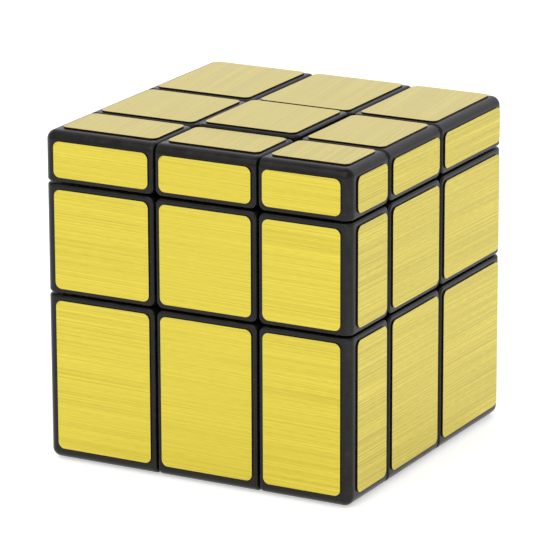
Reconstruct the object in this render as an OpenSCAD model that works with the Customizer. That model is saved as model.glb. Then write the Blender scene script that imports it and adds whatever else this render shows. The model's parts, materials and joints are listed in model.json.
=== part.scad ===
// Mirror block cube: a twisty puzzle of three layers each way, whose layers differ in thickness.
// X runs from left to right, Y from front to back and Z from bottom to top.
// The origin lies under the middle of the cube, on the plane that the cube rests on.
// Every turning face has its axis through one point, the core, which is off the cube's middle.

/* [Layers] */
// Thickness of the left layer
left_layer = 21; // [12:0.5:30]
// Thickness of the right layer
right_layer = 17; // [12:0.5:30]
// Thickness of the front layer
front_layer = 14; // [12:0.5:30]
// Thickness of the back layer
back_layer = 24; // [12:0.5:30]
// Thickness of the bottom layer
bottom_layer = 29; // [12:0.5:30]
// Thickness of the top layer
top_layer = 9; // [9:0.5:30]
// Thickness of the middle layer, the same in all three directions
middle_layer = 19; // [18:0.25:19.5]

/* [Cubies] */
// Gap between neighbouring cubies
seam_gap = 0.3; // [0.2:0.05:0.5]
// Wall thickness of the hollow cubies
wall = 1.5; // [1.2:0.1:1.6]
// Radius along an edge where two outer faces of a cubie meet
outer_edge_r = 1.6; // [0.8:0.1:1.6]
// Radius along an edge between an outer face and a seam
seam_edge_r = 0.45; // [0.1:0.05:0.6]
// Radius of a cubie's corner where four cubies meet
inner_edge_r = 1.25; // [0.6:0.05:1.5]
// Size of the square moulding window in a cubie's hidden wall
window = 3; // [2:0.5:3.5]
// How far the top centre cap stands above its neighbours
top_cap_proud = 0.4; // [0:0.05:0.5]

/* [Foils] */
// Thickness of a foil sticker
foil_t = 0.25; // [0.1:0.05:0.25]
// Corner radius of a foil
foil_corner_r = 1.1; // [0.5:0.1:2]
// Plastic left between a foil and the middle of a seam
foil_seam_margin = 1.05; // [0.8:0.05:1.5]
// Plastic left between a foil and the cube's left face
foil_left_margin = 2.2; // [1.85:0.05:3]
// Plastic left between a foil and the cube's right face
foil_right_margin = 1.85; // [1.85:0.05:3]
// Plastic left between a foil and the cube's front face
foil_front_margin = 2.65; // [1.85:0.05:3]
// Plastic left between a foil and the cube's back face
foil_back_margin = 1.85; // [1.85:0.05:3]
// Plastic left between a foil and the cube's bottom face
foil_bottom_margin = 2.2; // [1.85:0.05:3]
// Plastic left between a foil and the cube's top face
foil_top_margin = 1.85; // [1.85:0.05:3]

/* [Mechanism] */
// Distance from the core to the feet's inner ends
foot_start_r = 13; // [12.6:0.1:13.4]
// Distance from the core to where the feet end and the necks begin
neck_start_r = 16.2; // [16:0.1:16.3]
// Distance from the core to where the necks end and the outer blocks begin
block_start_r = 19; // [18.8:0.1:19.1]
// Half the space between opposite feet
foot_cut = 5.6; // [5.5:0.05:5.7]
// Half the space between opposite necks
neck_cut = 7.75; // [7.6:0.05:7.9]
// Running clearance on each side of a foot or a neck
clearance = 0.15; // [0.1:0.05:0.2]
// Height of the centre bases' flat tops above the core
base_top = 17.25; // [17.2:0.05:17.4]
// Radius of a centre base's round boss
boss_r = 5; // [4.8:0.1:5.2]
// Radius of the well that holds a spring, a washer and a screw head
well_r = 4.1; // [4:0.05:4.2]
// Thickness of the floor of the well
well_floor = 1.5; // [1.2:0.1:1.6]
// Radius of the core's hub
hub_r = 5.5; // [5:0.1:6]
// Radius of a core arm
arm_r = 3.2; // [2.8:0.1:3.4]
// Length of a core arm from the core's middle
arm_length = 8.6; // [8.4:0.05:8.7]

/* [Fasteners] */
// Radius of a screw's shank
screw_r = 1.4; // [1.2:0.05:1.45]
// Radius of a screw's head
screw_head_r = 2.6; // [2.2:0.1:2.8]
// Height of a screw's head
screw_head_h = 1.6; // [1.2:0.1:1.7]
// Depth that a screw reaches from the core's middle
screw_tip = 3.6; // [3:0.1:5]
// Outer radius of a washer
washer_r = 3; // [2.8:0.1:3.2]
// Thickness of a washer
washer_t = 0.5; // [0.4:0.1:0.6]
// Thickness of the spring wire
wire_d = 0.6; // [0.4:0.05:0.7]
// Mean radius of the spring
spring_r = 2.3; // [2:0.05:2.5]
// Number of turns in a spring
spring_turns = 3.5; // [3:0.5:4.5]

/* [Hidden] */
$fn = 48;
// Half of the middle layer: the distance from the core to every cut between layers
cut = middle_layer / 2;
gap = seam_gap / 2;
// The core's place in the cube
core_at = [(left_layer - right_layer) / 2, (front_layer - back_layer) / 2, bottom_layer + cut];
// Distances from the core to the outer faces, on the low and the high side of each axis
low_reach = [cut + left_layer, cut + front_layer, cut + bottom_layer];
high_reach = [cut + right_layer, cut + back_layer, cut + top_layer];
// Plastic left at the low and the high end of each axis, between a foil and the cube's outer face
low_margins = [foil_left_margin, foil_front_margin, foil_bottom_margin];
high_margins = [foil_right_margin, foil_back_margin, foil_top_margin];
// The cavities stay outside this distance from the core
cavity_r = block_start_r + clearance + wall;
// Cubies keep sharp hidden corners this far around their necks, for strength
strong_root = 1.1;
sharp_r = block_start_r + strong_root;
// Spaces that keep the parts on an arm from touching
arm_space = 0.25;
spring_space = 0.1;
head_space = 0.2;
tip_space = 0.2;
bore_clearance = 0.08;
thread_clearance = 0.02;
// Heights above the core of what is stacked on each arm
boss_start = arm_length + arm_space;
well_bottom = boss_start + well_floor;
spring_start = well_bottom + spring_space;
washer_at = 13.6;
head_at = washer_at + washer_t;
plug_end = head_at + screw_head_h + head_space;
// The ring under a cap that plugs into the well, and the ledge by which a hollow cap sits on its base
plug_r = well_r - 0.1;
plug_wall = 1;
cap_ledge = 0.6;
// The cross recess in a screw's head
recess_depth = 0.9;
recess_length = 3.2;
recess_width = 0.6;
// Sides of the spring wire, and rings of points in one turn of it
wire_sides = 6;
wire_steps = 12;
plastic = [0.17, 0.16, 0.155];
gold = [0.9, 0.82, 0.38];
steel = [0.7, 0.71, 0.73];
white_nylon = [0.86, 0.86, 0.84];
AXES = [0, 1, 2];
AXIS_NAMES = [["left", "right"], ["front", "back"], ["bottom", "top"]];

// A side says where a cubie sits: -1, 0 or 1 along X, Y and Z
STEPS = [-1, 0, 1];
ENDS = [-1, 1];
SIDES = [for (z = STEPS) for (y = STEPS) for (x = STEPS) [x, y, z]];
CENTRES = [for (side = SIDES) if (outer_faces(side) == 1) side];
EDGES = [for (side = SIDES) if (outer_faces(side) == 2) side];
CORNERS = [for (side = SIDES) if (outer_faces(side) == 3) side];

function outer_faces(side) = abs(side[0]) + abs(side[1]) + abs(side[2]);

// The name of a cubie's place: top or bottom first, then front or back, then left or right
function place(side) = joined([for (axis = [2, 1, 0]) if (side[axis] != 0) end_name(axis, side[axis])]);
function end_name(axis, end) = AXIS_NAMES[axis][end > 0 ? 1 : 0];
function joined(words, i = 0) =
    i == len(words) - 1 ? words[i] : str(words[i], "_", joined(words, i + 1));

function reach(axis, end) = end > 0 ? high_reach[axis] : low_reach[axis];

// The stretch of one axis that a piece fills: the middle, between two cuts, or beyond one of them
function span(end, cut_at, clear, far) =
    end == 0 ? [clear - cut_at, cut_at - clear] : end > 0 ? [cut_at + clear, far] : [-far, -cut_at - clear];

// How far a cubie's outer face stands above its neighbours
function rise(side) = side == [0, 0, 1] ? top_cap_proud : 0;

// How far from the core a cubie's outer face is, with the foil on it
function face_at(side, axis) = reach(axis, side[axis]) + rise(side);

function body_span(side, axis, shrink = 0) =
    let (whole = span(side[axis], cut, gap, face_at(side, axis) - foil_t))
    [whole[0] + shrink, whole[1] - shrink];

function body_end(side, axis, end) = body_span(side, axis)[end > 0 ? 1 : 0];

function sector_span(side, axis, cut_at) = span(side[axis], cut_at, clearance, block_start_r);

// How many of the two faces that meet along an edge of a cubie are outer faces
function outer_edges(side, axis_a, end_a, axis_b, end_b) =
    (side[axis_a] == end_a ? 1 : 0) + (side[axis_b] == end_b ? 1 : 0);

function edge_r(side, axis_a, end_a, axis_b, end_b) =
    [inner_edge_r, seam_edge_r, outer_edge_r][outer_edges(side, axis_a, end_a, axis_b, end_b)];

// The turn about Z that takes the quarter between +X and +Y to the one between two other ends
function quadrant(end_a, end_b) = end_a > 0 ? (end_b > 0 ? 0 : 270) : (end_b > 0 ? 90 : 180);

function foil_margin(side, axis, end) =
    side[axis] != end ? foil_seam_margin : end > 0 ? high_margins[axis] : low_margins[axis];

function foil_span(side, axis) =
    let (whole = span(side[axis], cut, 0, reach(axis, side[axis])))
    [whole[0] + foil_margin(side, axis, -1), whole[1] - foil_margin(side, axis, 1)];

// Lays a shape that is extruded along Z across another axis, with its X and Y on the next two axes
module facing_axis(axis) {
    if (axis == 2) children();
    if (axis == 0) rotate([90, 0, 90]) children();
    if (axis == 1) rotate([90, 0, 90]) rotate([90, 0, 90]) children();
}

// Turns a shape that points up so that it points to one side of the core
module pointing(side) {
    if (side[2] > 0) children();
    if (side[2] < 0) rotate([180, 0, 0]) children();
    if (side[0] != 0) rotate([0, 90 * side[0], 0]) children();
    if (side[1] != 0) rotate([-90 * side[1], 0, 0]) children();
}

// What a rounding takes off the corner of a rectangle, seen from the corner
module corner_waste(u, v, u_mirror, v_mirror, r) {
    spill = 0.1;
    translate([u, v])
        mirror([u_mirror, 0])
            mirror([0, v_mirror])
                difference() {
                    translate([-spill, -spill]) square(r + spill);
                    translate([r, r]) circle(r);
                }
}

// A rectangle with a radius for each corner: low-low, high-low, high-high and low-high
module rounded_outline(u, v, radii) {
    difference() {
        translate([u[0], v[0]]) square([u[1] - u[0], v[1] - v[0]]);
        corner_waste(u[0], v[0], 0, 0, radii[0]);
        corner_waste(u[1], v[0], 1, 0, radii[1]);
        corner_waste(u[1], v[1], 1, 1, radii[2]);
        corner_waste(u[0], v[1], 0, 1, radii[3]);
    }
}

// A plain box from its stretch of each axis
module block(x, y, z) {
    translate([x[0], y[0], z[0]]) cube([x[1] - x[0], y[1] - y[0], z[1] - z[0]]);
}

// A cubie's box with the four edges along one axis rounded
module rounded_prism(side, axis) {
    a = (axis + 1) % 3;
    b = (axis + 2) % 3;
    along = body_span(side, axis);
    radii = [
        edge_r(side, a, -1, b, -1), edge_r(side, a, 1, b, -1),
        edge_r(side, a, 1, b, 1), edge_r(side, a, -1, b, 1)
    ];
    facing_axis(axis)
        translate([0, 0, along[0]])
            linear_extrude(along[1] - along[0])
                rounded_outline(body_span(side, a), body_span(side, b), radii);
}

// What a rounding of radius r takes off one end of a wider rounded edge, as it runs on round the bend
module bend_waste(side, axis, end, end_a, end_b, r) {
    a = (axis + 1) % 3;
    b = (axis + 2) % 3;
    spill = 0.1;
    bend_r = edge_r(side, a, end_a, b, end_b);
    facing_axis(axis)
        translate([
            body_end(side, a, end_a) - end_a * bend_r,
            body_end(side, b, end_b) - end_b * bend_r,
            body_end(side, axis, end)
        ])
            mirror([0, 0, end > 0 ? 1 : 0])
                rotate(quadrant(end_a, end_b))
                    rotate_extrude(angle = 90)
                        difference() {
                            translate([bend_r - r, -spill]) square(r + spill);
                            translate([bend_r - r, r]) circle(r);
                        }
}

// The bends of a cubie's box: where a rounded edge ends at a seam or at an outer face
module bends_waste(side) {
    for (axis = AXES, end = ENDS, end_a = ENDS, end_b = ENDS) {
        outer = outer_edges(side, (axis + 1) % 3, end_a, (axis + 2) % 3, end_b);
        at_face = side[axis] == end;
        if ((outer == 2 && !at_face) || (outer == 0 && at_face))
            bend_waste(side, axis, end, end_a, end_b, seam_edge_r);
        if (outer == 2 && at_face && axis == 2)
            bend_waste(side, axis, end, end_a, end_b, outer_edge_r);
    }
}

module rounded_box(side) {
    difference() {
        intersection() {
            rounded_prism(side, 0);
            rounded_prism(side, 1);
            rounded_prism(side, 2);
        }
        bends_waste(side);
    }
}

module sharp_box(side, shrink = 0) {
    block(body_span(side, 0, shrink), body_span(side, 1, shrink), body_span(side, 2, shrink));
}

// A square window through the hidden end walls of an edge, or one hidden wall of a corner
module moulding_window(side) {
    axis = outer_faces(side) == 3 ? 0 : [for (i = AXES) if (side[i] == 0) i][0];
    function opening(i) =
        let (ends = body_span(side, i))
        let (middle = (ends[0] + ends[1]) / 2)
        i == axis ? span(side[i], cut, 0, cut + 2 * wall) : [middle - window / 2, middle + window / 2];
    block(opening(0), opening(1), opening(2));
}

module cavity(side) {
    difference() {
        union() {
            sharp_box(side, wall);
            moulding_window(side);
        }
        sphere(cavity_r);
    }
}

// The sector of the cube that a cubie may fill where the cuts are cut_at from the core
module sector(side, cut_at) {
    block(
        sector_span(side, 0, cut_at), sector_span(side, 1, cut_at), sector_span(side, 2, cut_at)
    );
}

// A cubie's part inside a distance from the core, such as its foot or its neck
module inner_part(side, cut_at, end_r) {
    intersection() {
        sector(side, cut_at);
        sphere(end_r - clearance);
    }
}

// Where the inner parts of the neighbours pass, inside a distance from the core
module passage(side, cut_at, end_r) {
    difference() {
        sphere(end_r + clearance);
        sector(side, cut_at);
    }
}

// A cubie's outer block, with its hidden corners sharp near the core
module outer_block(side) {
    rounded_box(side);
    intersection() {
        sharp_box(side);
        sphere(sharp_r);
    }
}

// An edge or a corner: a hollow outer block on a neck, and a foot that hooks under the neighbours
module hooked_cubie(side) {
    color(plastic)
        translate(core_at)
            difference() {
                union() {
                    difference() {
                        union() {
                            difference() {
                                outer_block(side);
                                passage(side, neck_cut, block_start_r);
                                cavity(side);
                            }
                            inner_part(side, neck_cut, block_start_r);
                        }
                        passage(side, foot_cut, neck_start_r);
                    }
                    inner_part(side, foot_cut, neck_start_r);
                }
                sphere(foot_start_r + clearance);
            }
}

// The piece that turns on a core arm: a square column with a flange over the edges' feet
module centre_base(side) {
    up = [0, 0, 1];
    flange = sector_span(up, 0, neck_cut);
    bottom = foot_cut + clearance;
    color(plastic)
        translate(core_at)
            pointing(side)
                difference() {
                    union() {
                        difference() {
                            block(flange, flange, [bottom, base_top]);
                            passage(up, foot_cut, neck_start_r);
                            sphere(foot_start_r + clearance);
                        }
                        translate([0, 0, boss_start]) cylinder(r = boss_r, h = foot_start_r - boss_start);
                    }
                    translate([0, 0, well_bottom]) cylinder(r = well_r, h = base_top);
                    cylinder(r = screw_r + bore_clearance, h = base_top);
                }
}

// The cover on a centre base: a plate on a thin side, and a hollow block on a thick one
module centre_cap(side) {
    axis = [for (i = AXES) if (side[i] != 0) i][0];
    top = face_at(side, axis) - foil_t;
    hollow_top = top - base_top > 2 * wall ? top - wall : base_top;
    inside = neck_cut - clearance - cap_ledge;
    color(plastic)
        translate(core_at)
            difference() {
                union() {
                    difference() {
                        rounded_box(side);
                        pointing(side) {
                            block([-cut, cut], [-cut, cut], [0, base_top]);
                            if (hollow_top > base_top)
                                block([-inside, inside], [-inside, inside], [0, hollow_top]);
                        }
                    }
                    pointing(side)
                        translate([0, 0, plug_end]) cylinder(r = plug_r, h = hollow_top - plug_end + wall / 2);
                }
                pointing(side) cylinder(r = plug_r - plug_wall, h = hollow_top);
            }
}

// The spider in the middle: a hub with six arms, each drilled for a screw
module core() {
    color(white_nylon)
        translate(core_at)
            difference() {
                union() {
                    sphere(hub_r);
                    for (side = CENTRES) pointing(side) cylinder(r = arm_r, h = arm_length);
                }
                for (side = CENTRES)
                    pointing(side)
                        translate([0, 0, screw_tip - tip_space])
                            cylinder(r = screw_r + thread_clearance, h = arm_length);
            }
}

// A pan-headed screw with a cross recess and a pointed end
module screw() {
    point_h = 1;
    bevel = 0.5;
    translate([0, 0, screw_tip]) cylinder(r1 = screw_r / 3, r2 = screw_r, h = point_h);
    translate([0, 0, screw_tip + point_h]) cylinder(r = screw_r, h = head_at - screw_tip - point_h);
    difference() {
        translate([0, 0, head_at])
            rotate_extrude()
                polygon([
                    [0, 0], [screw_head_r, 0], [screw_head_r, screw_head_h - bevel],
                    [screw_head_r - bevel, screw_head_h], [0, screw_head_h]
                ]);
        for (turn = [0, 90])
            rotate(turn)
                translate([-recess_length / 2, -recess_width / 2, head_at + screw_head_h - recess_depth])
                    cube([recess_length, recess_width, screw_head_h]);
    }
}

module washer() {
    translate([0, 0, washer_at])
        difference() {
            cylinder(r = washer_r, h = washer_t);
            translate([0, 0, -washer_t]) cylinder(r = screw_r + bore_clearance, h = 3 * washer_t);
        }
}

// The wire's ring of points number i, in a coil whose wire starts at height low and ends at high
function coil_ring(i, rings, low, high) =
    let (turn = 360 * i / wire_steps)
    let (height = low + (high - low) * i / rings)
    [
        for (k = [0 : wire_sides - 1])
            let (angle = 360 * k / wire_sides)
            let (r = spring_r + wire_d / 2 * cos(angle))
            [r * cos(turn), r * sin(turn), height + wire_d / 2 * sin(angle)]
    ];

// A helical compression spring from the floor of the well to the washer
module spring() {
    rings = spring_turns * wire_steps;
    low = spring_start + wire_d / 2;
    high = washer_at - wire_d / 2;
    points = [for (i = [0 : rings]) each coil_ring(i, rings, low, high)];
    start_face = [for (k = [wire_sides - 1 : -1 : 0]) k];
    end_face = [for (k = [0 : wire_sides - 1]) rings * wire_sides + k];
    wall_faces = [
        for (i = [0 : rings - 1])
            for (k = [0 : wire_sides - 1])
                let (next = (k + 1) % wire_sides)
                let (here = i * wire_sides)
                let (ahead = here + wire_sides)
                each [[here + k, ahead + next, ahead + k], [here + k, here + next, ahead + next]]
    ];
    polyhedron(points, concat([start_face, end_face], wall_faces));
}

module screws_springs_and_washers() {
    color(steel)
        translate(core_at)
            for (side = CENTRES)
                pointing(side) {
                    screw();
                    washer();
                    spring();
                }
}

// The foils on a cubie: one thin plate on each of its outer faces
module foils(side) {
    color(gold)
        translate(core_at)
            for (axis = AXES)
                if (side[axis] != 0) {
                    a = (axis + 1) % 3;
                    b = (axis + 2) % 3;
                    surface = face_at(side, axis);
                    low = side[axis] > 0 ? surface - foil_t : -surface;
                    facing_axis(axis)
                        translate([0, 0, low])
                            linear_extrude(foil_t)
                                rounded_outline(
                                    foil_span(side, a), foil_span(side, b), [for (i = [1:4]) foil_corner_r]
                                );
                }
}

core();
screws_springs_and_washers();
for (side = CENTRES) {
    centre_base(side);
    centre_cap(side);
    foils(side);
}
for (side = EDGES) {
    hooked_cubie(side);
    foils(side);
}
for (side = CORNERS) {
    hooked_cubie(side);
    foils(side);
}
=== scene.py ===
"""Looks of the mirror block cube: materials, soft studio light and the camera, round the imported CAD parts.

Every CAD node keeps its own mesh and gets a procedural material. Shader coordinates are object space,
which is the row frame at rest in metres, so the patterns stay on the parts when a face turns.
"""

import json
import math

import bpy
from mathutils import Matrix, Vector

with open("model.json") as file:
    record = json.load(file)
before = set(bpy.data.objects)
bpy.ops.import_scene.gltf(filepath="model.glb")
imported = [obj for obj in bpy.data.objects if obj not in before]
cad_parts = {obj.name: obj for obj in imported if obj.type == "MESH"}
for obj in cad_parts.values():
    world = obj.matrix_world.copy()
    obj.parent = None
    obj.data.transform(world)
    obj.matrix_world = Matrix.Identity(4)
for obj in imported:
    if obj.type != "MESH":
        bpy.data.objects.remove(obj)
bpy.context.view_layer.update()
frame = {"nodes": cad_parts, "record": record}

MM = 0.001


def colour(red, green, blue):
    """An opaque colour from linear red, green and blue."""
    return (red, green, blue, 1.0)


WHITE = colour(1.0, 1.0, 1.0)
GOLD_IN_STREAK = colour(0.465, 0.385, 0.040)
GOLD_BETWEEN_STREAKS = colour(0.770, 0.648, 0.078)
GOLD_IN_MARK = colour(0.42, 0.33, 0.05)
# A paler gold painted on the rolled rim of each foil: a painted highlight
GOLD_RIM_HIGHLIGHT = colour(0.90, 0.84, 0.42)
FOIL_CUT_SIDE = colour(0.035, 0.018, 0.008)
BLACK_DEEP = colour(0.0050, 0.0044, 0.0040)
BLACK_PALE = colour(0.0085, 0.0078, 0.0074)
# Paler black on rounded edges: partly wear from handling, partly a painted highlight
BLACK_WORN_AND_SHEEN = colour(0.024, 0.024, 0.024)
SCUFFED = colour(0.06, 0.06, 0.06)
DUST = colour(0.16, 0.16, 0.155)
NYLON_DEEP = colour(0.74, 0.73, 0.69)
NYLON_PALE = colour(0.82, 0.82, 0.79)
ZINC_DEEP = colour(0.50, 0.51, 0.53)
ZINC_PALE = colour(0.68, 0.69, 0.70)
FLOOR_DEEP = colour(0.86, 0.86, 0.86)
FLOOR_PALE = colour(0.90, 0.90, 0.90)

# The sockets of a mix node that hold colours. Their names are shared with its other sockets
MIX_COLOUR_A = 6
MIX_COLOUR_B = 7
MIX_COLOUR_OUT = 2

# The camera's place and where it looks, fitted to the photograph
CAMERA_AT = Vector((0.31019, -0.57649, 0.22007))
CAMERA_AZIMUTH = math.radians(28.268)
CAMERA_ELEVATION = math.radians(16.363)
CAMERA_ROLL = math.radians(-0.168)
CAMERA_LENS_MM = 261.7
CAMERA_SENSOR_MM = 36.0

# The cube's middle, and how far from it along an axis a point is on the face of a foil
CUBE_MIDDLE = (0.0, 0.0, 28.5 * MM)
FOIL_FACE_AT = 28.4 * MM

# How far the brushing of the foils leans on the top and bottom faces, and on the four upright ones
TOP_BRUSH_LEAN = math.radians(7)
UPRIGHT_BRUSH_LEAN = math.radians(1)

# How strongly the brushing shows on each pair of faces, against 1 on the front and back
SIDE_BRUSH_DEPTH = 1.7
TOP_BRUSH_DEPTH = 1.3
# The middle of the brushing's tone, which is moved on the left and right faces to make them darker: painted
# shade on those faces
BRUSH_MIDDLE = 0.53
SIDE_SHADED_BRUSH_MIDDLE = 0.565

# The rolled-over cut edge of a foil, and how sharply an edge has to turn to be one
EDGE_ROLL = 0.07 * MM
ROLLED_ANGLE = math.radians(60)
EDGE_ROLL_STEPS = 3
WELD_WITHIN = 0.001 * MM

# The surroundings behind the cube and on the camera's side, as radiance, and where one passes into the
# other: how much of a direction points level and away from the camera
BACKDROP = colour(1.10, 1.08, 1.16)
ROOM = colour(0.62, 0.61, 0.60)
ROOM_UP_TO = 0.1
BACKDROP_FROM = 0.7

# The light in front of the cube and above it
SOFTBOX_AT = (0.05, -0.58, 0.58)
SOFTBOX_EDGE = 0.90
SOFTBOX_RADIANCE = 1.20
SOFTBOX_TINT = (1.0, 0.99, 0.95)

# The floor glows a little, which keeps the shadow on it light
FLOOR_HALF_EDGE = 4.0
FLOOR_CLOUD = 1 / 3
FLOOR_TOP = -0.05 * MM
FLOOR_GLOW = 0.50


class Maker:
    """Builds one material's node tree. An input is fed with a socket or a constant, and None leaves it."""

    def __init__(self, name):
        self.material = bpy.data.materials.new(name)
        self.material.use_nodes = True
        self.tree = self.material.node_tree
        self.shader = self.tree.nodes["Principled BSDF"]
        place = self.add("ShaderNodeTexCoord")
        self.position = place.outputs["Object"]
        self.normal = place.outputs["Normal"]

    def feed(self, socket, value):
        if isinstance(value, bpy.types.NodeSocket):
            self.tree.links.new(value, socket)
        elif value is not None:
            socket.default_value = value

    def add(self, kind, inputs=None, **settings):
        node = self.tree.nodes.new(kind)
        for name, value in settings.items():
            setattr(node, name, value)
        for name, value in (inputs or {}).items():
            self.feed(node.inputs[name], value)
        return node

    def math(self, operation, a, b):
        return self.add("ShaderNodeMath", {0: a, 1: b}, operation=operation).outputs[0]

    def scaled_sum(self, *pairs):
        """The sum of value times factor over (value, factor) pairs."""
        total, *others = [self.math("MULTIPLY", value, factor) for value, factor in pairs]
        for other in others:
            total = self.math("ADD", total, other)
        return total

    def vector(self, operation, a, b=None):
        node = self.add("ShaderNodeVectorMath", {0: a, 1: b}, operation=operation)
        return node.outputs["Value" if operation == "DOT_PRODUCT" else "Vector"]

    def split(self, vector):
        return self.add("ShaderNodeSeparateXYZ", {0: vector}).outputs

    def join(self, x, y, z):
        return self.add("ShaderNodeCombineXYZ", {0: x, 1: y, 2: z}).outputs[0]

    def noise(self, vector, scale, detail=2.0):
        inputs = {"Vector": vector, "Scale": scale, "Detail": detail}
        return self.add("ShaderNodeTexNoise", inputs).outputs["Fac"]

    def grains(self, size, detail=2.0):
        """Noise in the part's own place, whose grains are about that size in metres."""
        return self.noise(self.position, 1 / size, detail)

    def spread(self, value, low, high, to_low=0.0, to_high=1.0):
        """Takes the stretch from low to high of a value to another stretch, and holds it there."""
        inputs = {0: value, 1: low, 2: high, 3: to_low, 4: to_high}
        return self.add("ShaderNodeMapRange", inputs, clamp=True).outputs[0]

    def mix(self, factor, a, b):
        node = self.add("ShaderNodeMix", data_type="RGBA")
        self.feed(node.inputs["Factor"], factor)
        self.feed(node.inputs[MIX_COLOUR_A], a)
        self.feed(node.inputs[MIX_COLOUR_B], b)
        return node.outputs[MIX_COLOUR_OUT]

    def bump(self, height, distance, strength):
        inputs = {"Height": height, "Distance": distance, "Strength": strength}
        return self.add("ShaderNodeBump", inputs).outputs["Normal"]

    def finish(self, **inputs):
        """Feeds the shader's inputs, named with _ for a space."""
        for name, value in inputs.items():
            self.feed(self.shader.inputs[name.replace("_", " ")], value)
        return self.material


def brush_coordinates(make, side, front, top):
    """(along, across): where a point of a foil is along the brushing and across it, in metres."""
    x, y, z = make.split(make.position)
    level = make.scaled_sum((x, front), (y, side))
    upright = make.math("SUBTRACT", 1.0, top)

    def leaning(flat, steep, angle):
        along = make.scaled_sum((flat, math.cos(angle)), (steep, -math.sin(angle)))
        across = make.scaled_sum((steep, math.cos(angle)), (flat, math.sin(angle)))
        return along, across

    on_uprights = leaning(level, z, UPRIGHT_BRUSH_LEAN)
    on_top = leaning(y, x, TOP_BRUSH_LEAN)
    return [make.scaled_sum((first, upright), (second, top)) for first, second in zip(on_uprights, on_top)]


def gold_foil():
    """Brushed metallised film: streaks along the brushing, a rolled rim with a painted highlight and dark
    cut sides.
    """
    make = Maker("brushed_gold_foil")
    squared = make.vector("MULTIPLY", make.normal, make.normal)
    side, front, top = make.split(squared)
    along, across = brush_coordinates(make, side, front, top)
    sheet = make.add("ShaderNodeAttribute", attribute_type="OBJECT", attribute_name="sheet_number")
    sheet_number = sheet.outputs["Fac"]

    def streaks(length_mm, width_mm, detail=2.0):
        """Noise whose grains are about that long and that wide, different on each foil."""
        where = make.join(
            make.math("MULTIPLY", along, 1 / (length_mm * MM)),
            make.math("MULTIPLY", across, 1 / (width_mm * MM)),
            sheet_number,
        )
        return make.noise(where, 1.0, detail)

    broad = streaks(length_mm=60, width_mm=2.6)
    long = streaks(length_mm=90, width_mm=0.20, detail=1.0)
    short = streaks(length_mm=2.0, width_mm=0.16, detail=1.0)
    marks = make.spread(streaks(length_mm=25, width_mm=0.22, detail=0.0), 0.72, 0.80)
    # The brushing shows more, and darker, on the left and right faces than on the others; the darker tone on
    # the left and right faces is painted shade
    depth = make.math("ADD", make.scaled_sum((side, SIDE_BRUSH_DEPTH), (top, TOP_BRUSH_DEPTH)), front)
    middle = make.spread(side, 0.0, 1.0, to_low=BRUSH_MIDDLE, to_high=SIDE_SHADED_BRUSH_MIDDLE)
    tone = make.scaled_sum((broad, 0.12), (long, 0.62), (short, 0.26))
    tone = make.math("MULTIPLY", make.math("SUBTRACT", tone, middle), depth)
    gold = make.mix(make.spread(tone, -0.25, 0.25), GOLD_IN_STREAK, GOLD_BETWEEN_STREAKS)
    gold = make.mix(make.math("MULTIPLY", marks, 0.4), gold, GOLD_IN_MARK)

    # 1 on the face of a foil and 0 on its cut sides: how far the normal points out of the cube's own face
    away = make.vector("ABSOLUTE", make.vector("SUBTRACT", make.position, CUBE_MIDDLE))
    on_face = [make.math("GREATER_THAN", distance, FOIL_FACE_AT) for distance in make.split(away)]
    facing = make.vector("DOT_PRODUCT", squared, make.join(*on_face))
    # The rim is where the normal is part of the way between the two, and a paler gold is painted there as a
    # highlight
    off_cut_side = make.spread(facing, 0.25, 0.5)
    off_face = make.spread(facing, 0.90, 0.995, to_low=1.0, to_high=0.0)
    rim = make.math("MULTIPLY", off_cut_side, off_face)
    gold = make.mix(make.math("MULTIPLY", rim, 0.6), gold, GOLD_RIM_HIGHLIGHT)
    gold = make.mix(make.spread(facing, 0.05, 0.3), FOIL_CUT_SIDE, gold)
    height = make.math("ADD", long, short)
    return make.finish(
        Base_Color=gold,
        Metallic=1.0,
        Roughness=make.spread(height, 0.7, 1.3, to_low=0.30, to_high=0.40),
        Coat_Weight=0.25,
        Coat_Roughness=0.20,
        Normal=make.bump(height, distance=0.004 * MM, strength=0.6),
    )


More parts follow.
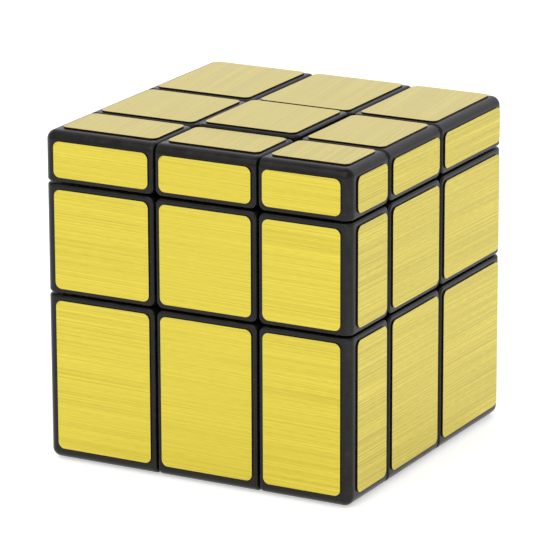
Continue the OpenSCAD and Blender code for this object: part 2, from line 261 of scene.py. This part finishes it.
def black_plastic():
    """Satin moulded plastic: fine grain, uneven gloss, rounded edges paler and glossier, partly from
    handling and partly a painted highlight, scuffs and specks.
    """
    make = Maker("satin_black_plastic")
    grain = make.grains(0.16 * MM)
    mottle = make.grains(2.4 * MM, detail=3.0)
    cloud = make.grains(14 * MM)
    base = make.mix(mottle, BLACK_DEEP, BLACK_PALE)

    # Where the normal leans away from all three axes, the surface is a rounded edge
    x, y, z = make.split(make.vector("ABSOLUTE", make.normal))
    flatness = make.math("MAXIMUM", make.math("MAXIMUM", x, y), z)
    edge = make.spread(flatness, 0.97, 0.80)
    # Rounded edges are made paler: partly wear from handling, partly a painted highlight where the edges
    # catch light
    worn_and_sheen = make.math("MULTIPLY", edge, make.spread(mottle, 0.40, 0.70))
    base = make.mix(make.math("MULTIPLY", worn_and_sheen, 0.5), base, BLACK_WORN_AND_SHEEN)

    # Level scuffs: noise that is drawn out along the level directions
    scuff_at = make.vector("MULTIPLY", make.position, (0.9 / MM, 0.7 / MM, 4.5 / MM))
    scuff = make.spread(make.noise(scuff_at, 1.0, detail=1.0), 0.735, 0.76)
    base = make.mix(make.math("MULTIPLY", scuff, 0.3), base, SCUFFED)

    # Specks of dust: the middles of one cell in ten
    cells = make.add("ShaderNodeTexVoronoi", {"Vector": make.position, "Scale": 1 / (2.2 * MM)})
    near_middle = make.spread(cells.outputs["Distance"], 0.05, 0.03)
    chosen = make.math("GREATER_THAN", make.split(cells.outputs["Color"])[0], 0.90)
    base = make.mix(make.math("MULTIPLY", near_middle, chosen), base, DUST)

    roughness = make.spread(make.math("ADD", mottle, cloud), 0.7, 1.3, to_low=0.20, to_high=0.34)
    height = make.math("ADD", grain, make.math("MULTIPLY", mottle, 0.8))
    return make.finish(
        Base_Color=base,
        Roughness=make.math("SUBTRACT", roughness, make.math("MULTIPLY", edge, 0.05)),
        Specular_IOR_Level=0.23,
        Normal=make.bump(height, distance=0.010 * MM, strength=0.5),
    )


def white_nylon():
    """Plain moulded nylon, a little translucent, with faint flow marks and a matt skin."""
    make = Maker("moulded_white_nylon")
    flow_at = make.vector("MULTIPLY", make.position, (0.3 / MM, 0.3 / MM, 0.9 / MM))
    flow = make.noise(flow_at, 1.0, detail=3.0)
    grain = make.grains(0.2 * MM)
    return make.finish(
        Base_Color=make.mix(flow, NYLON_DEEP, NYLON_PALE),
        Roughness=make.spread(flow, 0.3, 0.7, to_low=0.42, to_high=0.55),
        Subsurface_Weight=0.15,
        Subsurface_Scale=0.5 * MM,
        Normal=make.bump(make.math("ADD", grain, flow), distance=0.02 * MM, strength=0.4),
    )


def zinc_steel():
    """Zinc-plated steel: bright, with a crystalline mottle and a finer grain."""
    make = Maker("zinc_plated_steel")
    mottle = make.grains(0.5 * MM, detail=3.0)
    fine = make.grains(MM / 5.6, detail=4.0)
    return make.finish(
        Base_Color=make.mix(mottle, ZINC_DEEP, ZINC_PALE),
        Metallic=1.0,
        Roughness=make.spread(mottle, 0.3, 0.7, to_low=0.22, to_high=0.38),
        Normal=make.bump(fine, distance=0.006 * MM, strength=0.5),
    )


def dress_parts():
    """Gives each CAD node the material of its slot, and each foil its own stretch of brushed sheet."""
    looks = {
        "black_plastic": black_plastic(),
        "gold_foil": gold_foil(),
        "white_nylon": white_nylon(),
        "steel": zinc_steel(),
    }
    slots = {part["node"]: part["material_slot"] for part in frame["record"]["subparts"]}
    for number, (name, node) in enumerate(sorted(frame["nodes"].items())):
        for place in node.material_slots:
            place.material = looks[slots[name]]
        if slots[name] == "gold_foil":
            node["sheet_number"] = float(number)
            soften_edges(node)


def soften_edges(node):
    """Rolls the cut edge of a foil over, by modifiers only."""
    weld = node.modifiers.new("weld", "WELD")
    weld.merge_threshold = WELD_WITHIN
    bevel = node.modifiers.new("rolled_edge", "BEVEL")
    bevel.width = EDGE_ROLL
    bevel.segments = EDGE_ROLL_STEPS
    bevel.limit_method = "ANGLE"
    bevel.angle_limit = ROLLED_ANGLE
    bevel.use_clamp_overlap = True
    normals = node.modifiers.new("normals", "WEIGHTED_NORMAL")
    normals.keep_sharp = False


def floor_material():
    """Matt white card with faint clouds, that glows a little."""
    make = Maker("pale_floor")
    cloud = make.grains(FLOOR_CLOUD)
    return make.finish(
        Base_Color=make.mix(cloud, FLOOR_DEEP, FLOOR_PALE),
        Roughness=0.9,
        Specular_IOR_Level=0.1,
        Emission_Color=WHITE,
        Emission_Strength=FLOOR_GLOW,
    )


def floor():
    """A wide pale floor, just under the cube."""
    mesh = bpy.data.meshes.new("studio_floor")
    quarters = [(-1, -1), (1, -1), (1, 1), (-1, 1)]
    corners = [(x * FLOOR_HALF_EDGE, y * FLOOR_HALF_EDGE, FLOOR_TOP) for x, y in quarters]
    mesh.from_pydata(corners, [], [(0, 1, 2, 3)])
    mesh.materials.append(floor_material())
    ground = bpy.data.objects.new("studio_floor", mesh)
    bpy.context.scene.collection.objects.link(ground)


def softbox():
    """A square soft light that faces the cube, with the same radiance all over."""
    light = bpy.data.lights.new("front_softbox", "AREA")
    light.shape = "RECTANGLE"
    light.size = SOFTBOX_EDGE
    light.size_y = SOFTBOX_EDGE
    light.energy = SOFTBOX_RADIANCE * math.pi * SOFTBOX_EDGE**2
    light.color = SOFTBOX_TINT
    lamp = bpy.data.objects.new("front_softbox", light)
    lamp.location = SOFTBOX_AT
    towards_cube = Vector(CUBE_MIDDLE) - Vector(SOFTBOX_AT)
    lamp.rotation_euler = towards_cube.to_track_quat("-Z", "Y").to_euler()
    bpy.context.scene.collection.objects.link(lamp)


def surroundings():
    """A room that is brighter behind the cube, and that the camera itself sees as plain white."""
    world = bpy.data.worlds.new("white_studio")
    world.use_nodes = True
    tree = world.node_tree
    background = tree.nodes["Background"]
    direction = tree.nodes.new("ShaderNodeTexCoord").outputs["Generated"]
    towards_back = tree.nodes.new("ShaderNodeVectorMath")
    towards_back.operation = "DOT_PRODUCT"
    towards_back.inputs[1].default_value = (-math.sin(CAMERA_AZIMUTH), math.cos(CAMERA_AZIMUTH), 0.0)
    tree.links.new(direction, towards_back.inputs[0])
    room = tree.nodes.new("ShaderNodeValToRGB")
    near, far = room.color_ramp.elements
    near.position = ROOM_UP_TO
    near.color = ROOM
    far.position = BACKDROP_FROM
    far.color = BACKDROP
    tree.links.new(towards_back.outputs["Value"], room.inputs[0])
    seen = tree.nodes.new("ShaderNodeMix")
    seen.data_type = "RGBA"
    seen.inputs[MIX_COLOUR_B].default_value = WHITE
    tree.links.new(tree.nodes.new("ShaderNodeLightPath").outputs["Is Camera Ray"], seen.inputs["Factor"])
    tree.links.new(room.outputs["Color"], seen.inputs[MIX_COLOUR_A])
    tree.links.new(seen.outputs[MIX_COLOUR_OUT], background.inputs["Color"])
    background.inputs["Strength"].default_value = 1.0
    bpy.context.scene.world = world


def camera():
    """The photograph's view."""
    data = bpy.data.cameras.new("camera")
    data.sensor_width = CAMERA_SENSOR_MM
    data.lens = CAMERA_LENS_MM
    data.clip_start = 0.01
    data.clip_end = 20.0
    eye = bpy.data.objects.new("camera", data)
    eye.matrix_world = (
        Matrix.Translation(CAMERA_AT)
        @ Matrix.Rotation(CAMERA_AZIMUTH, 4, "Z")
        @ Matrix.Rotation(math.pi / 2 - CAMERA_ELEVATION, 4, "X")
        @ Matrix.Rotation(CAMERA_ROLL, 4, "Z")
    )
    bpy.context.scene.collection.objects.link(eye)
    bpy.context.scene.camera = eye


dress_parts()
surroundings()
softbox()
floor()
camera()
bpy.context.scene.view_settings.view_transform = "Standard"
